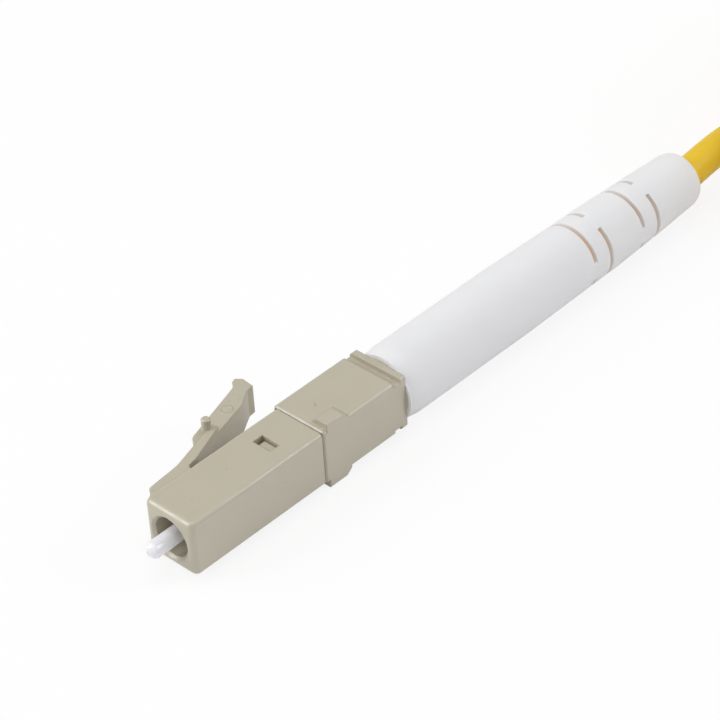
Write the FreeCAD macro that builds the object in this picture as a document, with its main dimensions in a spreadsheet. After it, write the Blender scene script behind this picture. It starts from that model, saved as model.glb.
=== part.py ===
import FreeCAD, Part

import math
import os

import Sketcher

Vector = FreeCAD.Vector

# One LC fibre optic plug lying on its side, with its cable. Millimetres.
# Row frame: +X is the way the plug enters its adapter, the latch is on the -Y side, +Z is up,
# and the origin is under the middle of the connector, on the surface that it lies on.
# Every piece is drawn in the connector's own frame, which is half a turn from that: x runs
# back from the plug's front face along the fibre axis, y runs towards the latch, z is up.

SIZES = {
    # plug housing: the square front moulding
    "plug_width": 4.42,
    "plug_length": 12.2,
    "plug_corner": 0.35,
    "front_round": 0.5,
    "bore_width": 3.0,
    "bore_depth": 2.95,
    "mouth_chamfer": 0.2,
    "seat_wall": 0.5,
    "seat_hole": 2.0,
    "cavity_width": 3.1,
    "window_back": 2.6,
    "window_length": 0.9,
    "window_width": 1.62,
    # latch root, moulded on the plug housing
    "root_start": 1.2,
    "root_height": 3.2,
    "root_step": 0.3,
    "root_step_height": 2.62,
    "root_round": 0.45,
    "root_bend_length": 0.7,
    "root_bend_round": 3.5,
    "latch_width": 3.2,
    # latch lever: its own x runs along the lever from the line that it flexes about
    "flex_station": 5.18,
    "flex_height": 2.92,
    "lever_angle": 17.2,
    "crotch_length": 0.35,
    "crotch_round": 0.25,
    "strap_root": 0.81,
    "strap_length": 3.88,
    "strap_outer": 0.764,
    "strap_inner": 0.224,
    "spine_width": 2.3,
    "spine_height": 1.584,
    "nose_start": 2.13,
    "nose_round": 0.74,
    "thumb_inner": 0.144,
    "thumb_bend": 7.03,
    "thumb_length": 9.58,
    "thumb_end_inset": 0.4,
    "thumb_end_inner": 0.424,
    "thumb_notch": 0.1,
    "thumb_lip": 0.34,
    "lip_length": 0.6,
    "peg_station": 3.47,
    "peg_height": 0.894,
    "peg_width": 0.68,
    "pegs_across": 4.85,
    "peg_chamfer": 0.1,
    # ferrule and its holder
    "ferrule_width": 1.249,
    "ferrule_length": 6.5,
    "ferrule_projection": 1.91,
    "tip_round": 0.45,
    "ferrule_funnel": 0.5,
    "holder_nose": 0.65,
    "holder_nose_width": 1.9,
    "head_flats": 2.5,
    "head_length": 1.3,
    "key_room": 0.07,
    "key_length": 2.4,
    "tail_width": 1.6,
    "tail_length": 4.0,
    "float_travel": 0.8,
    "bond_gap": 0.006,
    # spring
    "spring_wire": 0.26,
    "spring_width": 2.45,
    "spring_turns": 5,
    "spring_gap": 0.02,
    # rear body: square grip, snap spigot in front, crimp tube behind
    "body_width": 4.46,
    "body_rise": 0.26,
    "seam_gap": 0.08,
    "body_length": 8.02,
    "body_corner": 0.3,
    "body_front_edge": 0.15,
    "spigot_width": 3.0,
    "spigot_length": 4.1,
    "barb_room": 0.1,
    "barb_depth": 0.3,
    "barb_ramp": 0.25,
    "barb_length": 0.75,
    "barb_width": 1.27,
    "barb_offset": 0.11,
    "pad_start": 0.38,
    "pad_length": 1.5,
    "pad_slope": 0.6,
    "pad_width": 1.0,
    "pad_ramp": 0.45,
    "pad_height": 0.5,
    "pad_round": 0.12,
    "groove_start": 6.8,
    "groove_length": 0.72,
    "groove_depth": 0.4,
    "collar_width": 4.8,
    "collar_length": 0.15,
    "body_bore": 1.9,
    "crimp_tube_width": 2.9,
    "crimp_tube_length": 5.2,
    "crimp_ridge": 0.05,
    "crimp_ridges": 3,
    # crimp sleeve
    "sleeve_gap": 0.3,
    "sleeve_wall": 0.25,
    "sleeve_wide_length": 5.2,
    "sleeve_step": 0.5,
    "sleeve_narrow_length": 3.6,
    # boot
    "boot_width": 5.5,
    "boot_length": 33.55,
    "boot_end_width": 4.34,
    "boot_mid_width": 5.14,
    "boot_straight": 12.7,
    "boot_taper_start": 22.8,
    "boot_round": 0.45,
    "boot_room": 0.1,
    "slot_start": 19.7,
    "slot_pitch": 1.72,
    "slot_set_pitch": 5.55,
    "slot_width": 0.34,
    "slot_arc": 147.0,
    "slot_turn": 93.5,
    "slot_twist": 101.5,
    # cable, from the fibre outwards
    "fibre_width": 0.125,
    "coating_width": 0.25,
    "buffer_width": 0.9,
    "buffer_start": 5.0,
    "yarn_wall": 0.15,
    "jacket_bore": 1.4,
    "cable_width": 2.5,
    "strip_gap": 1.0,
    "layer_gap": 0.02,
    # tied hank of the spare cable
    "hank_start": 72.0,
    "hank_offset": 7.5,
    "hank_run": 51.8,
    "hank_fold": 10.2,
    "hank_columns": 2,
    "hank_layers": 3,
    "tie_wall": 0.4,
    "tie_length": 6.0,
}

# The cable's way from the boot to the hank, chosen by hand: x back from the boot's end,
# y towards the latch and z up from the fibre axis. The first point is the boot's end.
CABLE_ROUTE = (
    (0.0, 0.0, 0.0),
    (4.4, 0.0, 0.0),
    (8.8, 0.85, -0.95),
    (15.2, 3.9, -1.0),
    (21.9, 3.9, -0.9),
)

# The loose cable is drawn with this many flats, which keeps its three bends light.
CABLE_FLATS = 16

doc = FreeCAD.newDocument("lc_connector")
sheet = doc.addObject("Spreadsheet::Sheet", "Sizes")
for row, (name, value) in enumerate(SIZES.items(), 1):
    sheet.set(f"A{row}", name)
    sheet.set(f"B{row}", str(value))
    sheet.setAlias(f"B{row}", name)
doc.recompute()


def sized(text):
    """An expression with every size's name led by the sheet's name."""
    words, word = [], ""
    for letter in text + " ":
        if letter.isalnum() or letter == "_":
            word += letter
            continue
        words.append(f"Sizes.{word}" if word in SIZES else word)
        words.append(letter)
        word = ""
    return "".join(words).strip()


def number(text):
    """What an expression comes to, as a plain number."""
    found = sheet.evalExpression(sized(text))
    return float(getattr(found, "Value", found))


# Places that several pieces share, each worked out from the sizes.
SEAT_BACK = "(bore_depth + seat_wall)"
WINDOW_BACK = "(plug_length - window_back)"
HEAD_BACK = f"({SEAT_BACK} + head_length)"
BODY_FRONT = "(plug_length + seam_gap)"
BODY_BACK = f"({BODY_FRONT} + body_length)"
SPIGOT_FRONT = f"({BODY_FRONT} - spigot_length)"
TUBE_FRONT = f"({BODY_BACK} + collar_length)"
TUBE_BACK = f"({TUBE_FRONT} + crimp_tube_length)"
SLEEVE_FRONT = f"({TUBE_FRONT} + sleeve_gap)"
SLEEVE_NECK = f"({SLEEVE_FRONT} + sleeve_wide_length)"
SLEEVE_STEP = f"({SLEEVE_NECK} + sleeve_step)"
SLEEVE_BACK = f"({SLEEVE_STEP} + sleeve_narrow_length)"
BOOT_FRONT = TUBE_FRONT
BOOT_BACK = f"({BOOT_FRONT} + boot_length)"
JACKET_FRONT = f"({TUBE_BACK} + strip_gap)"
FERRULE_BACK = "(ferrule_length - ferrule_projection)"
YARN_INNER = "(crimp_tube_width / 2 + crimp_ridge + layer_gap)"
YARN_OUTER = f"({YARN_INNER} + yarn_wall)"
SLEEVE_INNER = f"({YARN_OUTER} + layer_gap)"
NECK_INNER = "(cable_width / 2 + layer_gap)"
CORE_INNER = "(buffer_width / 2 + layer_gap)"
CORE_OUTER = "(jacket_bore / 2 - layer_gap)"
LIP_TOP = "(spine_height + thumb_lip)"
LIP_END = "(thumb_length - thumb_end_inset / 2)"
LATCH_REACH = f"(flex_height + {LIP_END} * sin(lever_angle * 1 deg) + {LIP_TOP} * cos(lever_angle * 1 deg))"
HANK_WALL = "(hank_columns * cable_width / 2)"
HANK_HEIGHT = "(hank_layers * cable_width)"
REST = "(boot_width / 2)"

FRONT_X = f"({BOOT_BACK} - ferrule_projection) / 2"
AXIS_Y = f"({LATCH_REACH} - boot_width / 2) / 2"


def place(piece, x="0", y="0", turn="0"):
    """Puts a piece drawn in the connector's frame into the row frame."""
    piece.Placement = FreeCAD.Placement(Vector(), FreeCAD.Rotation(Vector(0, 0, 1), 180))
    piece.setExpression("Placement.Base.x", sized(f"{FRONT_X} - ({x})"))
    piece.setExpression("Placement.Base.y", sized(f"{AXIS_Y} - ({y})"))
    piece.setExpression("Placement.Base.z", sized(REST))
    piece.setExpression("Placement.Rotation.Angle", sized(f"180 + {turn}"))
    return piece


def new_body(label):
    body = doc.addObject("PartDesign::Body", label)
    body.Label = label
    return body


def new_sketch(body, plane, name, lift="0", turn="0"):
    """A sketch on one of the body's own planes, lifted along its normal or turned about x."""
    sketch = body.newObject("Sketcher::SketchObject", name)
    origin = [f for f in body.Origin.OriginFeatures if f.Role == plane]
    sketch.AttachmentSupport = [(origin[0], "")]
    sketch.MapMode = "FlatFace"
    sketch.AttachmentOffset = FreeCAD.Placement(Vector(), FreeCAD.Rotation(Vector(1, 0, 0), number(turn)))
    sketch.setExpression("AttachmentOffset.Base.z", sized(lift))
    if turn != "0":
        sketch.setExpression("AttachmentOffset.Rotation.Angle", sized(turn))
    return sketch


def pin_point(sketch, geometry, position, x, y):
    """Ties one point of a sketch to its two expressions, measured from the sketch's origin."""
    for kind, axis, text in (("DistanceX", -2, x), ("DistanceY", -1, y)):
        value = number(text)
        if value == 0:
            sketch.addConstraint(Sketcher.Constraint("PointOnObject", geometry, position, axis))
            continue
        index = sketch.addConstraint(Sketcher.Constraint(kind, -1, 1, geometry, position, value))
        sketch.setExpression(f"Constraints[{index}]", sized(text))


def add_outline(sketch, corners):
    """A closed outline of straight sides through corners that are pairs of expressions."""
    first = sketch.GeometryCount
    points = [Vector(number(x), number(y), 0) for x, y in corners]
    for here, there in zip(points, points[1:] + points[:1]):
        sketch.addGeometry(Part.LineSegment(here, there), False)
    count = len(corners)
    for side in range(count):
        after = first + (side + 1) % count
        sketch.addConstraint(Sketcher.Constraint("Coincident", first + side, 2, after, 1))
    for side, (x, y) in enumerate(corners):
        pin_point(sketch, first + side, 1, x, y)
    return sketch


def add_circle(sketch, x, y, width):
    radius = number(width) / 2
    centre = Vector(number(x), number(y), 0)
    circle = sketch.addGeometry(Part.Circle(centre, Vector(0, 0, 1), radius), False)
    pin_point(sketch, circle, 3, x, y)
    index = sketch.addConstraint(Sketcher.Constraint("Diameter", circle, 2 * radius))
    sketch.setExpression(f"Constraints[{index}]", sized(width))
    return sketch


def box_outline(sketch, x0, x1, y0, y1):
    return add_outline(sketch, [(x0, y0), (x1, y0), (x1, y1), (x0, y1)])


def extrude(body, kind, sketch, length, name, both_ways=False, back=False):
    """A Pad or a Pocket of a sketch."""
    feature = body.newObject(f"PartDesign::{kind}", name)
    feature.Profile = sketch
    feature.SideType = "Symmetric" if both_ways else "One side"
    feature.Reversed = back
    feature.Length = number(length)
    feature.setExpression("Length", sized(length))
    doc.recompute()
    return feature


def turn_about_axis(body, kind, sketch, name, angle="360", both_ways=False):
    """A Revolution or a Groove of a sketch about the fibre axis."""
    feature = body.newObject(f"PartDesign::{kind}", name)
    feature.Profile = sketch
    feature.ReferenceAxis = (sketch, ["H_Axis"])
    feature.Midplane = both_ways
    feature.Angle = number(angle)
    feature.setExpression("Angle", sized(angle))
    doc.recompute()
    return feature


def dress(body, kind, wanted, size, name):
    """A Fillet or a Chamfer on the edges of the body's last feature that are wanted."""
    tip = body.Tip
    edges = [f"Edge{i}" for i, edge in enumerate(tip.Shape.Edges, 1) if wanted(edge)]
    feature = body.newObject(f"PartDesign::{kind}", name)
    feature.Base = (tip, edges)
    prop = "Radius" if kind == "Fillet" else "Size"
    setattr(feature, prop, number(size))
    feature.setExpression(prop, sized(size))
    doc.recompute()
    return feature


def turned_body(label, corners):
    """A body that is one outline in the xy plane, turned about the fibre axis."""
    body = new_body(label)
    sketch = add_outline(new_sketch(body, "XY_Plane", f"{label}_outline"), corners)
    turn_about_axis(body, "Revolution", sketch, f"{label}_turned")
    return place(body)


def near(value, text, tolerance=1e-4):
    return abs(value - number(text)) < tolerance


def is_along_x(edge):
    return abs(edge.tangentAt(edge.FirstParameter).x) > 0.999


def is_long_edge(y, z):
    """Picks the edges along x that lie at y, z or at y, -z."""
    return lambda edge: is_along_x(edge) and near(edge.CenterOfMass.y, y) and near(abs(edge.CenterOfMass.z), z)


def is_cross_edge(x, y):
    """Picks the edge that crosses the middle plane at x, y."""
    return lambda edge: all(near(here, there) for here, there in zip(edge.CenterOfMass, (x, y, "0")))


def plug_housing():
    """Square sleeve with the front opening, the ferrule seat, two snap windows and the latch root."""
    body = new_body("plug_housing")
    half = "plug_width / 2"
    square = box_outline(new_sketch(body, "YZ_Plane", "plug_square"), f"-{half}", half, f"-{half}", half)
    extrude(body, "Pad", square, "plug_length", "plug_bar")
    dress(body, "Fillet", is_along_x, "plug_corner", "plug_corners")
    dress(body, "Fillet", lambda edge: near(edge.BoundBox.XMax, "0"), "front_round", "plug_front")

    foot = "plug_width / 2 - plug_corner / 2"
    root_top = "flex_height + strap_root * cos(lever_angle * 1 deg)"
    root_end = "flex_station - strap_root * sin(lever_angle * 1 deg)"
    bend_x = f"{root_end} - root_bend_length * cos(lever_angle * 1 deg)"
    bend_y = f"{root_top} - root_bend_length * sin(lever_angle * 1 deg)"
    root = add_outline(
        new_sketch(body, "XY_Plane", "root_outline"),
        [
            ("root_start - root_step", foot),
            ("root_start - root_step", "root_step_height"),
            ("root_start", "root_step_height"),
            ("root_start", "root_height"),
            (bend_x, bend_y),
            (root_end, root_top),
            ("flex_station", "flex_height"),
            ("flex_station - crotch_length", half),
            ("flex_station - crotch_length", foot),
        ],
    )
    extrude(body, "Pad", root, "latch_width", "latch_root", both_ways=True)
    dress(body, "Fillet", is_cross_edge("root_start", "root_height"), "root_round", "root_front")
    dress(body, "Fillet", is_cross_edge(bend_x, bend_y), "root_bend_round", "root_bend")
    dress(body, "Fillet", is_cross_edge("flex_station - crotch_length", half), "crotch_round", "crotch")

    hollow = add_outline(
        new_sketch(body, "XY_Plane", "hollow_outline"),
        [
            ("0", "0"),
            ("0", "bore_width / 2 + mouth_chamfer"),
            ("mouth_chamfer", "bore_width / 2"),
            ("bore_depth", "bore_width / 2"),
            ("bore_depth", "seat_hole / 2"),
            (SEAT_BACK, "seat_hole / 2"),
            (SEAT_BACK, "0"),
        ],
    )
    turn_about_axis(body, "Groove", hollow, "front_bore")
    key = new_sketch(body, "YZ_Plane", "key_outline", lift=SEAT_BACK)
    flats = "(head_flats / 2 + key_room) / cos(30 deg)"
    add_outline(key, [(f"{flats} * cos({a} deg)", f"{flats} * sin({a} deg)") for a in range(30, 360, 60)])
    extrude(body, "Pocket", key, "key_length", "key_pocket", back=True)
    cavity = new_sketch(body, "YZ_Plane", "cavity_outline", lift=f"{SEAT_BACK} + key_length")
    add_circle(cavity, "0", "0", "cavity_width")
    extrude(body, "Pocket", cavity, "plug_length", "cavity", back=True)
    window = box_outline(
        new_sketch(body, "XY_Plane", "window_outline"),
        f"{WINDOW_BACK} - window_length",
        WINDOW_BACK,
        "-window_width / 2",
        "window_width / 2",
    )
    extrude(body, "Pocket", window, "plug_width * 2", "snap_windows", both_ways=True)
    return place(body)


def latch_lever():
    """Thin wide strap that carries a narrow spine, two side pegs and a lipped thumb piece."""
    body = new_body("latch_lever")
    strap = add_outline(
        new_sketch(body, "XY_Plane", "strap_outline"),
        [("0", "0"), ("0", "strap_root"), ("strap_length", "strap_outer"), ("strap_length", "strap_inner")],
    )
    extrude(body, "Pad", strap, "latch_width", "strap", both_ways=True)
    spine = add_outline(
        new_sketch(body, "XY_Plane", "spine_outline"),
        [
            ("nose_start", "strap_outer / 2"),
            ("nose_start", "spine_height"),
            ("thumb_length - lip_length - thumb_lip", "spine_height"),
            ("thumb_length - lip_length", LIP_TOP),
            (LIP_END, LIP_TOP),
            ("thumb_length", "spine_height - thumb_lip / 2"),
            ("thumb_length - thumb_end_inset", "thumb_end_inner"),
            ("thumb_length - thumb_end_inset - lip_length", "thumb_end_inner + thumb_notch"),
            ("thumb_bend", "thumb_inner"),
            ("strap_length", "strap_inner"),
        ],
    )
    extrude(body, "Pad", spine, "spine_width", "spine", both_ways=True)
    dress(body, "Fillet", is_cross_edge("nose_start", "spine_height"), "nose_round", "nose")
    pegs = add_circle(new_sketch(body, "XY_Plane", "peg_outline"), "peg_station", "peg_height", "peg_width")
    extrude(body, "Pad", pegs, "pegs_across", "side_pegs", both_ways=True)

    def is_peg_end(edge):
        return near(abs(edge.CenterOfMass.z), "pegs_across / 2")

    dress(body, "Chamfer", is_peg_end, "peg_chamfer", "peg_ends")
    return place(body, x="flex_station", y="flex_height", turn="lever_angle")


def ferrule():
    """Ceramic cylinder with a domed tip, a fibre bore and a funnel behind it."""
    half, bore = "ferrule_width / 2", "fibre_width / 2 + bond_gap / 2"
    body = turned_body(
        "ferrule",
        [
            ("-ferrule_projection", bore),
            ("-ferrule_projection", half),
            (FERRULE_BACK, half),
            (f"{FERRULE_BACK} - ferrule_funnel", bore),
        ],
    )

    def is_tip(edge):
        return near(edge.BoundBox.XMax, "-ferrule_projection") and near(edge.BoundBox.ZMax, half)

    dress(body, "Fillet", is_tip, "tip_round", "tip_dome")
    return body


def ferrule_holder():
    """Metal holder: nose, six-sided head that keys in the housing, and a tail inside the spring."""
    body = new_body("ferrule_holder")
    head = new_sketch(body, "YZ_Plane", "head_outline", lift=SEAT_BACK)
    flats = "head_flats / 2 / cos(30 deg)"
    add_outline(head, [(f"{flats} * cos({a} deg)", f"{flats} * sin({a} deg)") for a in range(30, 360, 60)])
    extrude(body, "Pad", head, "head_length", "head")
    nose = add_circle(new_sketch(body, "YZ_Plane", "nose_outline", lift=SEAT_BACK), "0", "0", "holder_nose_width")
    extrude(body, "Pad", nose, "holder_nose", "nose_ring", back=True)
    tail = add_circle(new_sketch(body, "YZ_Plane", "tail_outline", lift=HEAD_BACK), "0", "0", "tail_width")
    extrude(body, "Pad", tail, "tail_length", "tail")
    grip, core = "ferrule_width / 2 + bond_gap", "buffer_width / 2 + layer_gap"
    hole = add_outline(
        new_sketch(body, "XY_Plane", "holder_bore_outline"),
        [
            ("0", "0"),
            ("0", grip),
            (f"{FERRULE_BACK} + bond_gap", grip),
            (f"{FERRULE_BACK} + bond_gap", core),
            (f"{HEAD_BACK} + tail_length + 1", core),
            (f"{HEAD_BACK} + tail_length + 1", "0"),
        ],
    )
    turn_about_axis(body, "Groove", hole, "holder_bore")
    return place(body)


def ferrule_bond():
    """Cured epoxy between the ferrule's back and the buffer."""
    core, bore = "buffer_width / 2", "coating_width / 2 + layer_gap"
    return turned_body(
        "ferrule_bond",
        [
            (f"{FERRULE_BACK} + bond_gap * 2", bore),
            (f"{FERRULE_BACK} + bond_gap * 2", core),
            ("buffer_start - bond_gap", core),
            ("buffer_start - bond_gap", bore),
        ],
    )


def ferrule_spring():
    """Coil spring between the holder's head and the spigot, its thin wire drawn square."""
    body = new_body("ferrule_spring")
    first, reach = f"{HEAD_BACK} + spring_gap + spring_wire / 2", "spring_wire / 2"
    middle = f"spring_width / 2 - {reach}"
    wire = new_sketch(body, "XY_Plane", "wire_outline")
    box_outline(wire, f"{first} - {reach}", f"{first} + {reach}", f"{middle} - {reach}", f"{middle} + {reach}")
    coil = body.newObject("PartDesign::AdditiveHelix", "coil")
    coil.Profile = wire
    coil.ReferenceAxis = (wire, ["H_Axis"])
    coil.Mode = "height-turns-angle"
    height = f"{SPIGOT_FRONT} - {HEAD_BACK} - 2 * spring_gap - spring_wire"
    coil.Height = number(height)
    coil.Turns = number("spring_turns")
    coil.setExpression("Height", sized(height))
    coil.setExpression("Turns", sized("spring_turns"))
    doc.recompute()
    return place(body)


def rear_body():
    """Square grip with a barbed spigot in front and a ridged crimp tube behind, one moulding."""
    body = new_body("rear_body")
    half = "body_width / 2"
    square = new_sketch(body, "YZ_Plane", "grip_square", lift=BODY_FRONT)
    box_outline(square, f"-{half}", f"{half} + body_rise", f"-{half}", half)
    extrude(body, "Pad", square, "body_length", "grip")
    dress(body, "Fillet", is_along_x, "body_corner", "grip_corners")
    dress(body, "Chamfer", lambda edge: near(edge.BoundBox.XMax, BODY_FRONT), "body_front_edge", "grip_front")

    pad_foot, pad_top = "(pad_width + pad_ramp)", f"({half} + pad_height)"
    pad_front = f"{BODY_FRONT} + pad_start"
    pads = add_outline(
        new_sketch(body, "XZ_Plane", "pad_outline", lift=f"{half} - {pad_foot} / 2"),
        [
            (pad_front, f"-{pad_top}"),
            (pad_front, pad_top),
            (f"{pad_front} + pad_length", pad_top),
            (f"{pad_front} + pad_length + pad_slope", half),
            (f"{pad_front} + pad_length + pad_slope", f"-{half}"),
            (f"{pad_front} + pad_length", f"-{pad_top}"),
        ],
    )
    extrude(body, "Pad", pads, pad_foot, "pads", both_ways=True)
    dress(body, "Chamfer", is_long_edge(f"{pad_foot} - {half}", pad_top), "pad_ramp", "pad_ramps")
    dress(body, "Fillet", is_long_edge(f"-{half}", pad_top), "pad_round", "pad_edges")

    for side, name in (("1", "top"), ("-1", "under")):
        groove = new_sketch(body, "XZ_Plane", f"{name}_groove_outline")
        front, floor = f"{BODY_FRONT} + groove_start", f"{side} * ({half} - groove_depth)"
        box_outline(groove, front, f"{front} + groove_length", floor, f"{side} * body_width")
        extrude(body, "Pocket", groove, "body_width * 2", f"{name}_groove", both_ways=True)

    spigot = add_circle(new_sketch(body, "YZ_Plane", "spigot_outline", lift=BODY_FRONT), "0", "0", "spigot_width")
    extrude(body, "Pad", spigot, "spigot_length", "spigot", back=True)
    barb_back, barb_top = f"{WINDOW_BACK} - barb_room", "(plug_width / 2 - barb_depth)"
    barb_front = f"{barb_back} - barb_length"
    barbs = add_outline(
        new_sketch(body, "XZ_Plane", "barb_outline", lift="barb_offset"),
        [
            (barb_front, f"{barb_top} - barb_ramp"),
            (f"{barb_front} + barb_ramp", barb_top),
            (barb_back, barb_top),
            (barb_back, f"-{barb_top}"),
            (f"{barb_front} + barb_ramp", f"-{barb_top}"),
            (barb_front, f"barb_ramp - {barb_top}"),
        ],
    )
    extrude(body, "Pad", barbs, "barb_width", "barbs", both_ways=True)

    tube = add_outline(new_sketch(body, "XY_Plane", "tube_outline"), tube_corners())
    turn_about_axis(body, "Revolution", tube, "collar_and_crimp_tube")
    bore = add_circle(new_sketch(body, "YZ_Plane", "body_bore_outline"), "0", "0", "body_bore")
    extrude(body, "Pocket", bore, f"{TUBE_BACK} + 1", "body_bore_cut", back=True)
    return place(body)


def tube_corners():
    """The round collar behind the grip, and the crimp tube with its saw-tooth ridges."""
    tube, ridge = "crimp_tube_width / 2", "crimp_tube_width / 2 + crimp_ridge"
    pitch = "crimp_tube_length / (crimp_ridges + 2)"
    corners = [
        (f"{BODY_BACK} - collar_length", "body_bore / 4"),
        (f"{BODY_BACK} - collar_length", "body_width / 2 - body_corner"),
        (BODY_BACK, "body_width / 2 - body_corner"),
        (BODY_BACK, "collar_width / 2"),
        (TUBE_FRONT, "collar_width / 2"),
        (TUBE_FRONT, tube),
    ]
    for tooth in range(SIZES["crimp_ridges"]):
        corners += [
            (f"{SLEEVE_FRONT} + ({tooth} + 0.5) * {pitch}", tube),
            (f"{SLEEVE_FRONT} + ({tooth} + 1.5) * {pitch}", ridge),
        ]
    corners.append((f"{SLEEVE_FRONT} + (crimp_ridges + 0.5) * {pitch}", tube))
    return corners + [(TUBE_BACK, tube), (TUBE_BACK, "body_bore / 4")]


def crimp_sleeve():
    """Metal sleeve that grips the yarn on the crimp tube and the jacket behind it."""
    wide = f"{SLEEVE_INNER} + sleeve_wall"
    narrow = f"{NECK_INNER} + sleeve_wall"
    return turned_body(
        "crimp_sleeve",
        [
            (SLEEVE_FRONT, SLEEVE_INNER),
            (SLEEVE_FRONT, wide),
            (SLEEVE_NECK, wide),
            (SLEEVE_STEP, narrow),
            (SLEEVE_BACK, narrow),
            (SLEEVE_BACK, NECK_INNER),
            (SLEEVE_STEP, NECK_INNER),
            (SLEEVE_NECK, SLEEVE_INNER),
        ],
    )


def strain_relief_boot():
    """Long soft boot that tapers to the cable, with two sets of staggered flex slots."""
    wide = f"{SLEEVE_INNER} + sleeve_wall + boot_room"
    narrow = f"{NECK_INNER} + sleeve_wall + boot_room"
    passage = f"{NECK_INNER} + layer_gap"
    body = turned_body(
        "strain_relief_boot",
        [
            (BOOT_FRONT, wide),
            (BOOT_FRONT, "boot_width / 2 - boot_room"),
            (f"{BOOT_FRONT} + boot_room", "boot_width / 2"),
            (f"{BOOT_FRONT} + boot_straight", "boot_width / 2"),
            (f"{BOOT_FRONT} + boot_taper_start", "boot_mid_width / 2"),
            (f"{BOOT_BACK} - boot_round", "boot_end_width / 2"),
            (f"{BOOT_BACK} - 0.3 * boot_round", "boot_end_width / 2 - 0.3 * boot_round"),
            (BOOT_BACK, "boot_end_width / 2 - boot_round"),
            (BOOT_BACK, passage),
            (f"{SLEEVE_BACK} + boot_room", passage),
            (f"{SLEEVE_BACK} + boot_room", narrow),
            (f"{SLEEVE_STEP} + boot_room", narrow),
            (f"{SLEEVE_NECK} + boot_room", wide),
        ],
    )
    for cluster in range(2):
        for ring in range(2):
            for side in range(2):
                name = f"slot_{cluster}{ring}{side}"
                front = f"{BOOT_FRONT} + slot_start + {cluster} * slot_set_pitch + {ring} * slot_pitch - slot_width / 2"
                turn = f"slot_turn + {ring} * slot_twist + {side} * 180"
                sketch = new_sketch(body, "XY_Plane", f"{name}_outline", turn=turn)
                box_outline(sketch, front, f"{front} + slot_width", f"{passage} - layer_gap", "boot_width")
                turn_about_axis(body, "Groove", sketch, name, "slot_arc", both_ways=True)
    return body


def cable_jacket():
    """The jacket inside the boot, cut back to bare the yarn."""
    return turned_body(
        "cable_jacket",
        [
            (JACKET_FRONT, "jacket_bore / 2"),
            (JACKET_FRONT, "cable_width / 2"),
            (BOOT_BACK, "cable_width / 2"),
            (BOOT_BACK, "jacket_bore / 2"),
        ],
    )


def aramid_yarn():
    """Pulling yarn: round the buffer inside the jacket, then spread over the crimp tube."""
    end = f"{BOOT_BACK} - strip_gap"
    return turned_body(
        "aramid_yarn",
        [
            (SLEEVE_FRONT, YARN_INNER),
            (SLEEVE_FRONT, YARN_OUTER),
            (TUBE_BACK, YARN_OUTER),
            (JACKET_FRONT, CORE_OUTER),
            (end, CORE_OUTER),
            (end, CORE_INNER),
            (JACKET_FRONT, CORE_INNER),
            (f"{TUBE_BACK} + layer_gap", YARN_INNER),
        ],
    )


def tight_buffer():
    """Buffer tube round the coated fibre. It moves with the ferrule, so its end stands clear."""
    end = f"{BOOT_BACK} - strip_gap"
    bore = "coating_width / 2 + layer_gap / 2"
    half = "buffer_width / 2"
    return turned_body(
        "tight_buffer", [("buffer_start", bore), ("buffer_start", half), (end, half), (end, bore)]
    )


def optical_fibre():
    """Glass to the ferrule's tip, with its coating left on behind the ferrule."""
    glass, coating = "fibre_width / 2", "coating_width / 2"
    bare_end = f"{FERRULE_BACK} + bond_gap * 2"
    end = f"{BOOT_BACK} - strip_gap"
    return turned_body(
        "optical_fibre",
        [
            ("-ferrule_projection", "0"),
            ("-ferrule_projection", glass),
            (bare_end, glass),
            (bare_end, coating),
            (end, coating),
            (end, "0"),
        ],
    )


def stadium(label, half_width, height, lift):
    """A block with round ends as long as the hank's straight run, in the connector's frame."""
    parts = []
    for end in range(2):
        drum = doc.addObject("Part::Cylinder", f"{label}_end_{end}")
        drum.setExpression("Radius", sized(half_width))
        drum.setExpression("Height", sized(height))
        drum.setExpression("Placement.Base.x", sized(f"hank_start + {end} * hank_run"))
        parts.append(drum)
    block = doc.addObject("Part::Box", f"{label}_block")
    block.setExpression("Length", sized("hank_run"))
    block.setExpression("Width", sized(f"2 * {half_width}"))
    block.setExpression("Height", sized(height))
    block.setExpression("Placement.Base.x", sized("hank_start"))
    block.setExpression("Placement.Base.y", sized(f"-hank_offset - {half_width}"))
    parts.append(block)
    for piece in parts:
        piece.setExpression("Placement.Base.z", sized(lift))
    for drum in parts[:2]:
        drum.setExpression("Placement.Base.y", sized("-hank_offset"))
    whole = doc.addObject("Part::MultiFuse", label)
    whole.Shapes = parts
    whole.Refine = True
    return whole


def cable_hank():
    """The outer shape of the spare cable: long turns side by side and in layers, tied flat."""
    lift = f"tie_wall - {REST}"
    outer = stadium("hank_outside", f"(hank_fold + {HANK_WALL})", HANK_HEIGHT, lift)
    inner = stadium("hank_inside", f"(hank_fold - {HANK_WALL})", HANK_HEIGHT, lift)
    hank = doc.addObject("Part::Cut", "cable_hank")
    hank.Base, hank.Tool = outer, inner
    hank.Label = "cable_hank"
    doc.recompute()
    return place(hank)


def hank_tie(label, side):
    """A soft strap wrapped round one side of the hank."""
    body = new_body(label)
    middle = f"-hank_offset + {side} * hank_fold"
    strap = new_sketch(body, "YZ_Plane", f"{label}_outline", lift="hank_start + (hank_run - tie_length) / 2")
    for wall in ("tie_wall", "0"):
        half = f"{HANK_WALL} + {wall}"
        low, high = f"tie_wall - {REST} - {wall}", f"tie_wall - {REST} + {HANK_HEIGHT} + {wall}"
        box_outline(strap, f"{middle} - ({half})", f"{middle} + {half}", low, high)
    extrude(body, "Pad", strap, "tie_length", f"{label}_strap")
    return place(body)


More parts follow.
